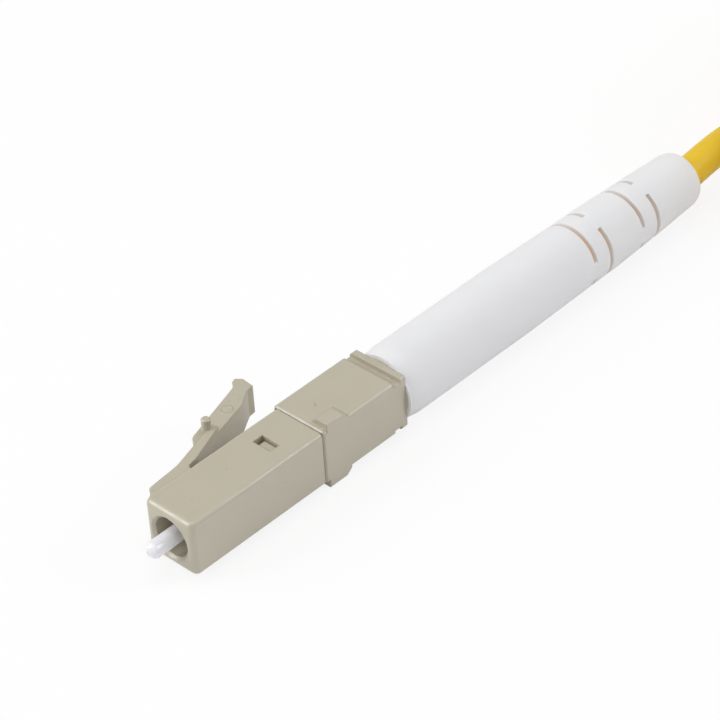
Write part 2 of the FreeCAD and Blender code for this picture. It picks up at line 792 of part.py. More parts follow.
def rounded_route(points):
    """Straight runs joined by tangent arcs, each as large as the shorter of its two runs allows."""
    edges, radii, here = [], [], points[0]
    for before, corner, after in zip(points, points[1:], points[2:]):
        back, ahead = before - corner, after - corner
        turn = math.pi - back.getAngle(ahead)
        reach = 0.45 * min(back.Length, ahead.Length)
        radius = reach / math.tan(turn / 2)
        back.normalize()
        ahead.normalize()
        inward = back + ahead
        inward.normalize()
        first, last = corner + back * reach, corner + ahead * reach
        middle = corner + inward * (radius / math.cos(turn / 2) - radius)
        edges += [Part.LineSegment(here, first).toShape(), Part.Arc(first, middle, last).toShape()]
        radii.append(radius)
        here = last
    edges.append(Part.LineSegment(here, points[-1]).toShape())
    return Part.Wire(edges), radii


def cable_run():
    """The loose cable from the boot, running on into the hank, whose outer shape holds its end."""
    start = number(BOOT_BACK)
    points = [Vector(start + x, y, z) for x, y, z in CABLE_ROUTE]
    path, radii = rounded_route(points)
    radius, flat = number("cable_width / 2"), 2 * math.pi / CABLE_FLATS
    rim = [points[0] + radius * Vector(0, math.cos(n * flat), math.sin(n * flat)) for n in range(CABLE_FLATS)]
    section = Part.makePolygon(rim + rim[:1])
    tube = path.makePipeShell([section], True, False)
    print("cable bend radii, mm:", [round(r, 1) for r in radii])
    print("cable volume over section times length:", round(tube.Volume / (math.pi * radius**2 * path.Length), 4))
    piece = doc.addObject("Part::Feature", "cable_run")
    piece.Shape = tube
    piece.Label = "cable_run"
    return place(piece)


nodes = [
    plug_housing(),
    latch_lever(),
    ferrule(),
    ferrule_holder(),
    ferrule_bond(),
    ferrule_spring(),
    rear_body(),
    crimp_sleeve(),
    strain_relief_boot(),
    cable_jacket(),
    aramid_yarn(),
    tight_buffer(),
    optical_fibre(),
    hank_tie("hank_tie_near", "1"),
    hank_tie("hank_tie_far", "-1"),
    cable_hank(),
    cable_run(),
]
doc.recompute()

failed = [o.Label for o in doc.Objects if {"Invalid", "Error"} & set(o.State)]
failed += [n.Label for n in nodes if n.Shape.isNull() or not n.Shape.isValid()]
if failed:
    raise RuntimeError(f"these failed: {failed}")

os.makedirs("parts", exist_ok=True)
for node in nodes:
    node.Shape.exportStep(f"parts/{node.Label}.step")
    box = node.Shape.BoundBox
    print(f"{node.Label:20s} {len(node.Shape.Solids)} solid, {node.Shape.Volume:9.3f} mm3,", end=" ")
    print(f"x {box.XMin:.2f}..{box.XMax:.2f} y {box.YMin:.2f}..{box.YMax:.2f} z {box.ZMin:.2f}..{box.ZMax:.2f}")
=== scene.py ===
import math

import bmesh
import bpy
from mathutils import Matrix, Vector


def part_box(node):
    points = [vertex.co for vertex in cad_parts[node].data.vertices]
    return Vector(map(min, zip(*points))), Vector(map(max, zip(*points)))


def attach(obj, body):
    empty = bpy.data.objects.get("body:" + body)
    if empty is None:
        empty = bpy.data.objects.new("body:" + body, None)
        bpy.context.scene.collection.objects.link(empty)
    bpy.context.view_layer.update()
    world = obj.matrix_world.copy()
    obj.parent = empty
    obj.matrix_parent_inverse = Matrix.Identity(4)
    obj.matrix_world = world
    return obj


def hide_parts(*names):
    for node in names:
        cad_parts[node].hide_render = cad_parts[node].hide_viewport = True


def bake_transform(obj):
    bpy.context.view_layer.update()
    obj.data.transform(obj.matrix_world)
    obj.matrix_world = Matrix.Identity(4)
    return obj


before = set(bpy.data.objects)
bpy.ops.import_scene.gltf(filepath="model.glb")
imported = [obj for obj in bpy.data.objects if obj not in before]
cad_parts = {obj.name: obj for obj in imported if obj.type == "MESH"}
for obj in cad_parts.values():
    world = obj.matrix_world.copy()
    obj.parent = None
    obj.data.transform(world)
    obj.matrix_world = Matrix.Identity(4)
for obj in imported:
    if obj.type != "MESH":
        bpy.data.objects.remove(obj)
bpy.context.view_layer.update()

MM = 0.001

# Places are in the connector's own frame, in millimetres: back from the plug's front face,
# towards the latch, and up from the fibre axis. at() turns them into the row frame.
LOW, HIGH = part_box("ferrule")
AXIS_Y, AXIS_Z = (LOW.y + HIGH.y) / 2, (LOW.z + HIGH.z) / 2
FRONT_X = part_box("plug_housing")[1].x
BOOT_END_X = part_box("strain_relief_boot")[0].x


def at(back, latchward, up):
    """A place in the connector's own frame, as a place in the row frame."""
    return Vector((FRONT_X - back * MM, AXIS_Y - latchward * MM, AXIS_Z + up * MM))


# ---------------------------------------------------------------- camera

CAMERA_AIM = at(14.03, -4.37, 8.44)
CAMERA_AZIMUTH, CAMERA_ELEVATION, CAMERA_ROLL = 45.56, 37.87, -3.68
CAMERA_DISTANCE, CAMERA_LENS, CAMERA_NEAREST = 0.19491, 150, 0.01


def add_camera():
    """A long lens that looks down on the plug's front from its plain side."""
    azimuth, elevation = math.radians(CAMERA_AZIMUTH), math.radians(CAMERA_ELEVATION)
    flat = math.cos(elevation)
    back = Vector((math.cos(azimuth) * flat, math.sin(azimuth) * flat, math.sin(elevation)))
    turn = back.to_track_quat("Z", "Y").to_matrix().to_4x4()
    roll = Matrix.Rotation(math.radians(CAMERA_ROLL), 4, "Z")
    camera = bpy.data.objects.new("camera", bpy.data.cameras.new("camera"))
    camera.data.lens = CAMERA_LENS
    camera.data.clip_start = CAMERA_NEAREST
    camera.matrix_world = Matrix.Translation(CAMERA_AIM + back * CAMERA_DISTANCE) @ turn @ roll
    bpy.context.scene.collection.objects.link(camera)
    bpy.context.scene.camera = camera


add_camera()

# ---------------------------------------------------------------- cable

CABLE_D = 2.5
CABLE_EXIT = Vector((BOOT_END_X, AXIS_Y, AXIS_Z))
# From the boot's end to the hank's first run: back, towards the latch and up, in metres, as in
# the part's own source, but for a small shift of the second point.
CABLE_ROUTE = (
    (0.0, 0.0, 0.0),
    (0.0044, 0.0002, 0.0004),
    (0.0088, 0.00085, -0.00095),
    (0.0152, 0.0039, -0.001),
)
HANK_LOW, HANK_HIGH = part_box("cable_hank")
HANK_COLUMNS, HANK_LAYERS = 2, 3
HANK_HALF = (HANK_HIGH.y - HANK_LOW.y) / 2
HANK_Y = (HANK_HIGH.y + HANK_LOW.y) / 2
HANK_NEAR = HANK_HIGH.x - HANK_HALF
HANK_RUN = HANK_HIGH.x - HANK_LOW.x - 2 * HANK_HALF
# Points round one end of a turn.
HANK_STEPS = 6
# Where a turn moves to its next slot: how far these places lie apart, and the points before
# and after each, from its middle.
SHIFT_PITCH, SHIFT_REACH, SHIFT_LEAD = 0.0082, 0.0035, 0.0075
CABLE_ORDER, CABLE_STEPS, CABLE_FACETS = 3, 8, 8


def hank_slots():
    """Each turn's (radius, height) in the order wound: inwards, then outwards one layer up."""
    slots = []
    for layer in range(HANK_LAYERS):
        columns = range(HANK_COLUMNS) if layer % 2 == 0 else reversed(range(HANK_COLUMNS))
        for column in columns:
            radius = HANK_HALF - (column + 0.5) * CABLE_D * MM
            slots.append((radius, HANK_LOW.z + (layer + 0.5) * CABLE_D * MM))
    return slots


def fold(centre_x, slot, first_angle):
    """The points round one end of the hank, which go clockwise seen from above."""
    radius, height = slot
    step = math.pi / HANK_STEPS
    reach = radius / math.cos(step / 2)
    angles = [first_angle - (k + 0.5) * step for k in range(HANK_STEPS)]
    return [
        Vector((centre_x - reach * math.cos(a), HANK_Y - reach * math.sin(a), height))
        for a in angles
    ]


def hank_points():
    """Runs on the latch's side, then back on the other, where each turn moves to its next slot."""
    points, slots = [], hank_slots()
    far_x = HANK_NEAR - HANK_RUN
    for turn, slot in enumerate(slots):
        radius, height = slot
        if turn > 0:
            points += fold(HANK_NEAR, slot, 1.5 * math.pi)
            points.append(Vector((HANK_NEAR, HANK_Y - radius, height)))
        points.append(Vector((far_x, HANK_Y - radius, height)))
        points += fold(far_x, slot, 0.5 * math.pi)
        if turn + 1 == len(slots):
            points.append(Vector((far_x + SHIFT_REACH, HANK_Y + radius, height)))
            continue
        next_radius, next_height = slots[turn + 1]
        points.append(Vector((far_x, HANK_Y + radius, height)))
        middle = far_x + HANK_RUN / 2 + (len(slots) / 2 - turn - 1) * -SHIFT_PITCH
        for offset in (-SHIFT_LEAD, -SHIFT_REACH):
            points.append(Vector((middle + offset, HANK_Y + radius, height)))
        for offset in (SHIFT_REACH, SHIFT_LEAD):
            points.append(Vector((middle + offset, HANK_Y + next_radius, next_height)))
        points.append(Vector((HANK_NEAR, HANK_Y + next_radius, next_height)))
    return points


def add_cable():
    """The cable's real length, from the boot's end through every turn of the hank."""
    points = [CABLE_EXIT + Vector((-x, -y, z)) for x, y, z in CABLE_ROUTE] + hank_points()
    curve = bpy.data.curves.new("cable", "CURVE")
    curve.dimensions = "3D"
    spline = curve.splines.new("NURBS")
    spline.points.add(len(points) - 1)
    for point, place in zip(spline.points, points):
        point.co = (*place, 1)
        point.radius = CABLE_D * MM / 2
    spline.order_u = CABLE_ORDER
    spline.use_endpoint_u = True
    spline.resolution_u = CABLE_STEPS
    curve.bevel_depth = 1.0
    curve.bevel_resolution = CABLE_FACETS
    curve.use_fill_caps = True
    cable = bpy.data.objects.new("cable", curve)
    bpy.context.scene.collection.objects.link(cable)
    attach(cable, "connector_body")
    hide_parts("cable_run", "cable_hank")
    return cable


cable = add_cable()

# ---------------------------------------------------------------- materials

BEVEL_SAMPLES = 6


class Shader:
    """A material's nodes, made and joined by short calls."""

    def __init__(self, name):
        self.material = bpy.data.materials.new(name)
        self.material.use_nodes = True
        self.tree = self.material.node_tree
        self.surface = self.tree.nodes["Principled BSDF"]

    def node(self, kind, inputs=(), **settings):
        """A new node, whose inputs are joined to sockets or set to values."""
        made = self.tree.nodes.new(kind)
        for key, value in settings.items():
            setattr(made, key, value)
        for key, value in dict(inputs).items():
            if isinstance(value, bpy.types.NodeSocket):
                self.tree.links.new(value, made.inputs[key])
            else:
                made.inputs[key].default_value = value
        return made

    def place(self):
        """The place on the piece, in the row frame."""
        return self.node("ShaderNodeTexCoord").outputs["Object"]

    def noise(self, feature_mm, detail, stretch=None):
        """Noise whose blobs are about feature_mm across, from 0 to 1."""
        vector = self.place()
        if stretch is not None:
            scaled = self.node("ShaderNodeMapping", {"Vector": vector, "Scale": stretch})
            vector = scaled.outputs["Vector"]
        inputs = {"Vector": vector, "Scale": 1 / (feature_mm * MM), "Detail": detail}
        return self.node("ShaderNodeTexNoise", inputs).outputs["Fac"]

    def math(self, operation, first, second=0.0):
        """One sum with two values."""
        return self.node("ShaderNodeMath", {0: first, 1: second}, operation=operation).outputs[0]

    def gap(self, first, second):
        """How far apart two places are."""
        made = self.node("ShaderNodeVectorMath", {0: first, 1: second}, operation="DISTANCE")
        return made.outputs["Value"]

    def parts(self):
        """The place's X, Y and Z."""
        return self.node("ShaderNodeSeparateXYZ", {"Vector": self.place()}).outputs

    def ramp(self, value, stops):
        """A colour ramp from (position, grey or colour) stops."""
        made = self.node("ShaderNodeValToRGB", {"Fac": value})
        elements = made.color_ramp.elements
        while len(elements) < len(stops):
            elements.new(0.5)
        for element, (position, tone) in zip(elements, stops):
            element.position = position
            element.color = (*(tone if hasattr(tone, "__len__") else (tone,) * 3), 1)
        return made.outputs["Color"]

    def mix(self, factor, first, second):
        """The first colour where the factor is 0, and the second where it is 1."""
        made = self.node("ShaderNodeMix", data_type="RGBA")
        sockets = (made.inputs[0], made.inputs[6], made.inputs[7])
        for socket, value in zip(sockets, (factor, first, second)):
            if isinstance(value, bpy.types.NodeSocket):
                self.tree.links.new(value, socket)
            else:
                socket.default_value = (*value, 1) if hasattr(value, "__len__") else value
        return made.outputs[2]

    def spot(self, centre, radius_mm, soft):
        """1 inside a ball, falling to 0 at its edge from the share soft of its radius."""
        gap = self.gap(self.place(), centre)
        return self.spread(gap, radius_mm * MM * soft, radius_mm * MM, 1.0, 0.0)

    def ring(self, centre, radius_mm, width_mm):
        """1 on a circle round a place, falling to 0 at the given distance from it."""
        off = self.math("SUBTRACT", self.gap(self.place(), centre), radius_mm * MM)
        return self.spread(self.math("ABSOLUTE", off), 0.0, width_mm * MM, 1.0, 0.0)

    def dash(self, first, last, width_mm):
        """1 in the middle of a scratch, falling to 0 at its two ends and beyond its width."""
        middle, run = (first + last) / 2, last - first
        turn = run.to_track_quat("X", "Z").inverted().to_euler()
        inputs = {0: self.place(), 1: middle}
        moved = self.node("ShaderNodeVectorMath", inputs, operation="SUBTRACT")
        inputs = {"Vector": moved.outputs[0], "Rotation": turn}
        turned = self.node("ShaderNodeVectorRotate", inputs, rotation_type="EULER_XYZ")
        inputs = {0: turned.outputs[0], 1: (width_mm * MM / run.length * 2, 1, 1)}
        scaled = self.node("ShaderNodeVectorMath", inputs, operation="MULTIPLY")
        gap = self.node("ShaderNodeVectorMath", {0: scaled.outputs[0]}, operation="LENGTH")
        return self.spread(gap.outputs["Value"], 0.0, width_mm * MM, 1.0, 0.0)

    def spread(self, value, low, high, at_low, at_high):
        """A value taken smoothly from one range to another."""
        span = {"Value": value, "From Min": low, "From Max": high,
                "To Min": at_low, "To Max": at_high}
        made = self.node("ShaderNodeMapRange", span, interpolation_type="SMOOTHSTEP")
        return made.outputs["Result"]

    def bump(self, *layers, edge_mm=0):
        """Heights in millimetres, from (value, height_mm) layers, put on the surface's normal.
        edge_mm rounds the look of the edges."""
        normal = None
        if edge_mm:
            rounded = self.node("ShaderNodeBevel", {"Radius": edge_mm * MM}, samples=BEVEL_SAMPLES)
            normal = rounded.outputs["Normal"]
        for value, height_mm in layers:
            inputs = {"Height": value, "Distance": height_mm * MM, "Strength": 1.0}
            if normal is not None:
                inputs["Normal"] = normal
            normal = self.node("ShaderNodeBump", inputs).outputs["Normal"]
        self.tree.links.new(normal, self.surface.inputs["Normal"])

    def set(self, **values):
        """Sets or joins the surface's inputs by name, and gives the material."""
        for key, value in values.items():
            socket = self.surface.inputs[key.replace("_", " ")]
            if isinstance(value, bpy.types.NodeSocket):
                self.tree.links.new(value, socket)
            elif socket.type == "RGBA":
                socket.default_value = (*value, 1)
            else:
                socket.default_value = value
        return self.material


def srgb(red, green, blue):
    """A colour given as a screen shows it, from 0 to 255, as linear light."""
    tones = [channel / 255 for channel in (red, green, blue)]
    return tuple(t / 12.92 if t <= 0.04045 else ((t + 0.055) / 1.055) ** 2.4 for t in tones)


# Small marks on the plastic: (place, radius), (place, place, width) and (place, radius, height),
# in mm.
SPECKS = ((at(5.59, 0.14, 2.21), 0.1), (at(1.9, 1.0, 2.21), 0.05), (at(8.6, -2.21, 0.4), 0.09),
          (at(15.5, -1.1, 2.23), 0.07), (at(16.9, -2.23, -0.6), 0.08))
SCRATCHES = ((at(14.38, 0.68, 2.23), at(13.98, 0.02, 2.23), 0.08),)
EJECTOR_RINGS = ((at(10.84, 5.56, 1.15), 0.42, 0.05), (at(11.97, 6.04, 1.15), 0.4, 0.02),
                 (at(8.4, -2.21, 0.6), 0.35, 0.006))
RING_WIDTH = 0.09
# Painted shade in the seam between housing and grip: where it lies, its half width and soft edge
# in mm, how strong it is, and the places towards the latch, in mm, between which it fades out.
SEAM_X = at(12.24, 0, 0).x
SEAM_HALF, SEAM_SOFT, SEAM_SHADE_STRENGTH = 0.05, 0.075, 0.85
SEAM_FULL_TO, SEAM_END = 2.6, 2.9
EDGE_ROUND = 0.13


def beige_plastic():
    """Satin moulded plastic: flow marks, spark texture, ejector rings, specks, scratch, dirt,
    painted shade in the seam.
    """
    shader = Shader("beige_plastic")
    base = shader.mix(shader.noise(2.2, 4), srgb(181, 174, 153), srgb(186, 179, 158))
    dirt = shader.ramp(shader.noise(0.42, 2), [(0.76, 0.0), (0.82, 0.55)])
    base = shader.mix(dirt, base, srgb(150, 143, 124))
    for place, radius in SPECKS:
        base = shader.mix(shader.spot(place, radius, 0.2), base, srgb(158, 151, 132))
    for first, last, width in SCRATCHES:
        base = shader.mix(shader.dash(first, last, width), base, srgb(142, 135, 116))
    # Painted shade: the seam between housing and grip is darkened, fading out towards the latch.
    place = shader.parts()
    off = shader.math("ABSOLUTE", shader.math("SUBTRACT", place["X"], SEAM_X))
    seam = shader.spread(off, SEAM_HALF * MM, SEAM_SOFT * MM, SEAM_SHADE_STRENGTH, 0.0)
    body = shader.spread(place["Y"], AXIS_Y - SEAM_END * MM, AXIS_Y - SEAM_FULL_TO * MM, 0.0, 1.0)
    base = shader.mix(shader.math("MULTIPLY", seam, body), base, srgb(84, 78, 62))
    rough = shader.spread(shader.noise(0.6, 4), 0.3, 0.7, 0.32, 0.42)
    heights = [(shader.noise(0.06, 2), 0.0022), (shader.noise(1.1, 3), 0.008)]
    for place, radius, height in EJECTOR_RINGS:
        heights.append((shader.ring(place, radius, RING_WIDTH), height))
    shader.bump(*heights, edge_mm=EDGE_ROUND)
    return shader.set(Base_Color=base, Roughness=rough, IOR=1.58, Specular_IOR_Level=1.0)


# The boot's skin narrows to its end, and its slots lie between two places. Lengths in mm, the
# places measured forward from its end.
BOOT_TAPER, BOOT_END_RADIUS, BOOT_FULL_RADIUS = 20.85, 2.13, 2.71
SLOT_TOP, SLOT_FLOOR = 0.05, 0.35
SLOTS_BACK, SLOTS_BACK_SOFT, SLOTS_FRONT, SLOTS_FRONT_SOFT = 2, 2.4, 16, 17
# How strongly the slots glow: a painted light.
SLOT_GLOW = 0.15


def boot_rubber():
    """Matt white elastomer, with a painted warm tint and glow in its slots for the yellow jacket's
    light.
    """
    shader = Shader("boot_rubber")
    base = shader.mix(shader.noise(2.5, 3), srgb(227, 227, 228), srgb(231, 231, 232))
    place = shader.parts()
    across = shader.node("ShaderNodeCombineXYZ", {"Y": place["Y"], "Z": place["Z"]}).outputs[0]
    radius = shader.gap(across, Vector((0, AXIS_Y, AXIS_Z)))
    taper = {"Value": place["X"],
             "From Min": BOOT_END_X, "From Max": BOOT_END_X + BOOT_TAPER * MM,
             "To Min": BOOT_END_RADIUS * MM, "To Max": BOOT_FULL_RADIUS * MM}
    skin = shader.node("ShaderNodeMapRange", taper).outputs["Result"]
    depth = shader.math("SUBTRACT", skin, radius)
    deep = shader.spread(depth, SLOT_TOP * MM, SLOT_FLOOR * MM, 0.0, 1.0)
    ahead = shader.math("SUBTRACT", place["X"], BOOT_END_X)
    back = shader.spread(ahead, SLOTS_BACK * MM, SLOTS_BACK_SOFT * MM, 0.0, 1.0)
    front = shader.spread(ahead, SLOTS_FRONT * MM, SLOTS_FRONT_SOFT * MM, 1.0, 0.0)
    inside = shader.math("MULTIPLY", deep, shader.math("MULTIPLY", back, front))
    # Painted warm light: the slots' walls are tinted tan and glow faintly, for light from the
    # yellow jacket.
    base = shader.mix(inside, base, srgb(232, 206, 176))
    painted_glow = shader.math("MULTIPLY", inside, SLOT_GLOW)
    shader.bump((shader.noise(0.12, 3), 0.003), (shader.noise(1.5, 2), 0.012))
    return shader.set(Base_Color=base, Roughness=0.6, Specular_IOR_Level=0.35,
                      Subsurface_Weight=0.25, Subsurface_Radius=(1.0, 0.9, 0.8),
                      Subsurface_Scale=0.0005, Emission_Color=srgb(235, 205, 175),
                      Emission_Strength=painted_glow)


def yellow_jacket():
    """Extruded cable jacket: satin and faintly mottled, with small pits and a few specks."""
    shader = Shader("yellow_jacket")
    base = shader.mix(shader.noise(1.2, 4), srgb(226, 186, 36), srgb(233, 195, 46))
    specks = shader.ramp(shader.noise(0.35, 2), [(0.77, 0.0), (0.82, 0.6)])
    base = shader.mix(specks, base, srgb(176, 140, 30))
    shader.bump((shader.noise(0.15, 3), 0.003), (shader.noise(1.0, 2), 0.01))
    return shader.set(Base_Color=base, Roughness=0.48, Specular_IOR_Level=0.4,
                      Subsurface_Weight=0.1, Subsurface_Scale=0.0004)


def ceramic():
    """Polished white zirconia: light goes a little way into it."""
    shader = Shader("ceramic")
    base = shader.mix(shader.noise(0.3, 3), srgb(236, 236, 241), srgb(242, 242, 247))
    shader.bump((shader.noise(0.4, 2), 0.001))
    return shader.set(Base_Color=base, Roughness=0.14, IOR=1.6, Subsurface_Weight=0.3,
                      Subsurface_Radius=(1.0, 1.0, 1.1), Subsurface_Scale=0.0004)


# The turning lines' tone against the metal's, and a mottle's height against its grain.
LINE_SHADE, MOTTLE_HEIGHT = 0.85, 0.05


def turned_metal(name, tone, rough):
    """Bare metal with fine turning lines."""
    shader = Shader(name)
    lines = shader.noise(0.05, 2, stretch=(6, 1, 1))
    shader.bump((lines, 0.003))
    base = shader.mix(lines, tuple(t * LINE_SHADE for t in tone), tone)
    return shader.set(Base_Color=base, Metallic=1.0, Roughness=rough)


def plain_detail(name, first, second, rough, feature_mm=0.3):
    """Two close tones in a fine mottle with a matching bump."""
    shader = Shader(name)
    value = shader.noise(feature_mm, 4)
    shader.bump((value, feature_mm * MOTTLE_HEIGHT))
    return shader.set(Base_Color=shader.mix(value, first, second), Roughness=rough)


def tie_fabric():
    """Woven hook and loop tape: an uneven weave under a raised pile."""
    shader = Shader("tie_fabric")
    weave = shader.noise(0.18, 2, stretch=(1, 1, 0.5))
    pile = shader.noise(0.06, 3)
    shader.bump((weave, 0.06), (pile, 0.03))
    base = shader.mix(pile, (0.018, 0.018, 0.02), (0.055, 0.055, 0.06))
    return shader.set(Base_Color=base, Roughness=0.9, Sheen_Weight=0.4, Sheen_Roughness=0.5)


BEIGE = beige_plastic()
JACKET = yellow_jacket()
STEEL = turned_metal("steel", (0.62, 0.62, 0.62), 0.3)
NODE_MATERIALS = {
    "plug_housing": BEIGE,
    "latch_lever": BEIGE,
    "rear_body": BEIGE,
    "ferrule": ceramic(),
    "ferrule_holder": STEEL,
    "ferrule_bond": plain_detail("epoxy", srgb(150, 110, 60), srgb(170, 125, 70), 0.25),
    "ferrule_spring": turned_metal("spring_steel", (0.5, 0.5, 0.5), 0.35),
    "crimp_sleeve": turned_metal("crimp_metal", (0.7, 0.7, 0.7), 0.35),
    "strain_relief_boot": boot_rubber(),
    "cable_jacket": JACKET,
    "aramid_yarn": plain_detail("yarn", srgb(205, 170, 90), srgb(225, 195, 120), 0.8, 0.1),
    "tight_buffer": plain_detail("buffer", srgb(225, 225, 220), srgb(235, 235, 230), 0.5),
    "optical_fibre": plain_detail("fibre_glass", srgb(205, 208, 216), srgb(225, 228, 235), 0.08,
                                  0.05),
    "hank_tie_near": tie_fabric(),
    "hank_tie_far": tie_fabric(),
}


def wear(piece, material):
    """Gives a piece one material."""
    piece.data.materials.clear()
    piece.data.materials.append(material)


for node, material in NODE_MATERIALS.items():
    wear(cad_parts[node], material)
wear(cable, JACKET)

# ---------------------------------------------------------------- moulded pieces

# How the latch lever runs, and where it leaves its root.
LEVER_ANGLE = math.radians(17.2)
LEVER_WAY = Vector((-math.cos(LEVER_ANGLE), -math.sin(LEVER_ANGLE), 0))
FLEX_LINE = at(5.18, 2.92, 0)
# Points closer than these are joined: within one solid, and where lever and root meet. In metres.
SAME_POINT, SAME_ROOT_POINT = 1e-7, 3e-6
# Faces that turn by less are one flat face.
FLAT_DEG = 0.4
# The face that lever and root share: how near the flex line it lies, in mm, and how square to
# the lever.
PLANE_REACH, PLANE_MATCH = 0.03, 0.999
# Shading is smooth over smaller turns than these, and large faces count more.
PLASTIC_SMOOTH_DEG, ROUND_SMOOTH_DEG, STRAP_SMOOTH_DEG = 20, 50, 35
FACE_AREA_WEIGHT = 80
# Edges that turn by more are rounded.
SHARP_DEG, BEVEL_SEGMENTS = 28, 3


def solid_mesh(node):
    """A CAD solid's mesh with its points joined and its flat faces whole."""
    work = bmesh.new()
    work.from_mesh(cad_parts[node].data)
    bmesh.ops.remove_doubles(work, verts=work.verts, dist=SAME_POINT)
    bmesh.ops.dissolve_limit(work, angle_limit=math.radians(FLAT_DEG), verts=work.verts,
                             edges=work.edges)
    return work


def past_flex_line(face):
    """How far a face's middle lies along the lever from the line where the lever bends."""
    return (face.calc_center_median() - FLEX_LINE).dot(LEVER_WAY)


def open_at_flex_line(work):
    """Takes out the face that the latch lever and its root share."""
    shared = [
        face for face in work.faces
        if abs(face.normal.dot(LEVER_WAY)) > PLANE_MATCH
        and abs(past_flex_line(face)) < PLANE_REACH * MM
    ]
    bmesh.ops.delete(work, geom=shared, context="FACES")


def piece_from(work, name, material):
    """Turns a worked mesh into a piece of the scene."""
    mesh = bpy.data.meshes.new(name)
    work.to_mesh(mesh)
    work.free()
    piece = bpy.data.objects.new(name, mesh)
    bpy.context.scene.collection.objects.link(piece)
    wear(piece, material)
    return piece


def bake_modifiers(piece):
    """Puts a piece's modifiers into its mesh."""
    graph = bpy.context.evaluated_depsgraph_get()
    mesh = bpy.data.meshes.new_from_object(piece.evaluated_get(graph))
    piece.modifiers.clear()
    old, piece.data = piece.data, mesh
    bpy.data.meshes.remove(old)


def even_shading(piece, smooth_deg=PLASTIC_SMOOTH_DEG):
    """Shades small turns smoothly and keeps the large faces flat."""
    work = bmesh.new()
    work.from_mesh(piece.data)
    work.normal_update()
    for face in work.faces:
        face.smooth = True
    for edge in work.edges:
        edge.smooth = edge.calc_face_angle(math.pi) < math.radians(smooth_deg)
    work.to_mesh(piece.data)
    work.free()
    flat = piece.modifiers.new("normals", "WEIGHTED_NORMAL")
    flat.keep_sharp = True
    flat.weight = FACE_AREA_WEIGHT
    bake_modifiers(piece)


def round_edges(piece, edge_mm, shortest_mm, last_x):
    """Rounds the sharp edges that lie behind last_x."""
    work = bmesh.new()
    work.from_mesh(piece.data)
    weight = work.edges.layers.float.new("bevel_weight_edge")
    for edge in work.edges:
        sharp = len(edge.link_faces) == 2 and edge.calc_face_angle(0) > math.radians(SHARP_DEG)
        behind = max(end.co.x for end in edge.verts) < last_x
        edge[weight] = float(sharp and behind and edge.calc_length() > shortest_mm * MM)
    work.to_mesh(piece.data)
    work.free()
    bevel = piece.modifiers.new("edges", "BEVEL")
    bevel.width = edge_mm * MM
    bevel.segments = BEVEL_SEGMENTS
    bevel.limit_method = "WEIGHT"
    bevel.use_clamp_overlap = False
    bake_modifiers(piece)


def stand_for(piece, *nodes):
    """Hides the CAD nodes that a piece replaces."""
    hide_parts(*nodes)


# Rows of points across the lever where it bends, from the flex line. In mm.
LEVER_ROWS = (0.35, 0.9, 1.5, 2.2)
# The corner under the latch that is carved deeper, how far it reaches each way, and by how much.
CROTCH, CROTCH_REACH, CROTCH_DEEPER = at(4.83, 2.58, 0), (0.4, 0.38, 1.65), 0.42


def add_plug():
    """The housing with its latch in one moulding, with rows of points cut across the lever near
    its root.
    """
    whole = solid_mesh("plug_housing")
    lever = solid_mesh("latch_lever")
    open_at_flex_line(whole)
    open_at_flex_line(lever)
    mesh = bpy.data.meshes.new("lever")
    lever.to_mesh(mesh)
    lever.free()
    whole.from_mesh(mesh)
    bpy.data.meshes.remove(mesh)
    bmesh.ops.remove_doubles(whole, verts=whole.verts, dist=SAME_ROOT_POINT)
    for back in LEVER_ROWS:
        cut = FLEX_LINE + LEVER_WAY * back * MM
        near = [face for face in whole.faces if past_flex_line(face) > 0.0]
        edges = list({edge for face in near for edge in face.edges})
        points = list({point for face in near for point in face.verts})
        bmesh.ops.bisect_plane(whole, geom=near + edges + points, dist=SAME_POINT, plane_co=cut,
                               plane_no=LEVER_WAY)
    for point in whole.verts:
        away = point.co - CROTCH
        if all(abs(gap) < reach * MM for gap, reach in zip(away, CROTCH_REACH)):
            point.co.x += CROTCH_DEEPER * MM
    piece = piece_from(whole, "plug_and_latch", BEIGE)
    even_shading(piece)
    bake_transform(piece)
    stand_for(piece, "plug_housing", "latch_lever")


def add_rear():
    """The grip behind the housing."""
    piece = piece_from(solid_mesh("rear_body"), "rear_shell", BEIGE)
    even_shading(piece)
    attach(piece, "connector_body")
    stand_for(piece, "rear_body")


def widen(point, by, lift=0.0):
    """Moves a point away from the connector's axis, to by times as far, and lifts it."""
    point.co.y = AXIS_Y + (point.co.y - AXIS_Y) * by
    point.co.z = AXIS_Z + (point.co.z - AXIS_Z) * by + lift


def off_axis(point):
    """How far a point lies from the connector's axis, in mm."""
    return math.hypot(point.co.y - AXIS_Y, point.co.z - AXIS_Z) / MM


# The boot's lengths are in mm.
BOOT_FRONT_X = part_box("strain_relief_boot")[1].x
NEAR_FACE, SLIVER = 0.02, 0.01
BOOT_SHORTER, BOOT_CLOSER = 1.05, 0.14
# Behind: the skin's inner radius, the end face's new rim, how far the rings before it move
# forward, as (reach, move), and the length that moves with the end.
SKIN_FROM, END_RIM = 1.5, 1.55
END_RINGS = ((0.2, 0.05), (0.6, 0.2))
END_LENGTH = 1.5
# In front: where rings are cut in, the skin's inner radius, where the rim starts, forward of the
# last ring, and by what share the ring and the rim are narrowed.
FRONT_CUTS = (0.5, 1.3)
FRONT_SKIN, RIM_START, RING_NARROWER, RIM_NARROWER = 2.7, 1.0, 0.035, 0.11
# The boot swells by a share and lifts towards its end. This starts SWELL_START forward of the
# end and is whole SWELL_LENGTH further back.
SWELL_START, SWELL_LENGTH, SWELL, LIFT = 16, 15, 0.03, 0.16
BOOT_EDGE, BOOT_SHORTEST_EDGE = 0.07, 0.2


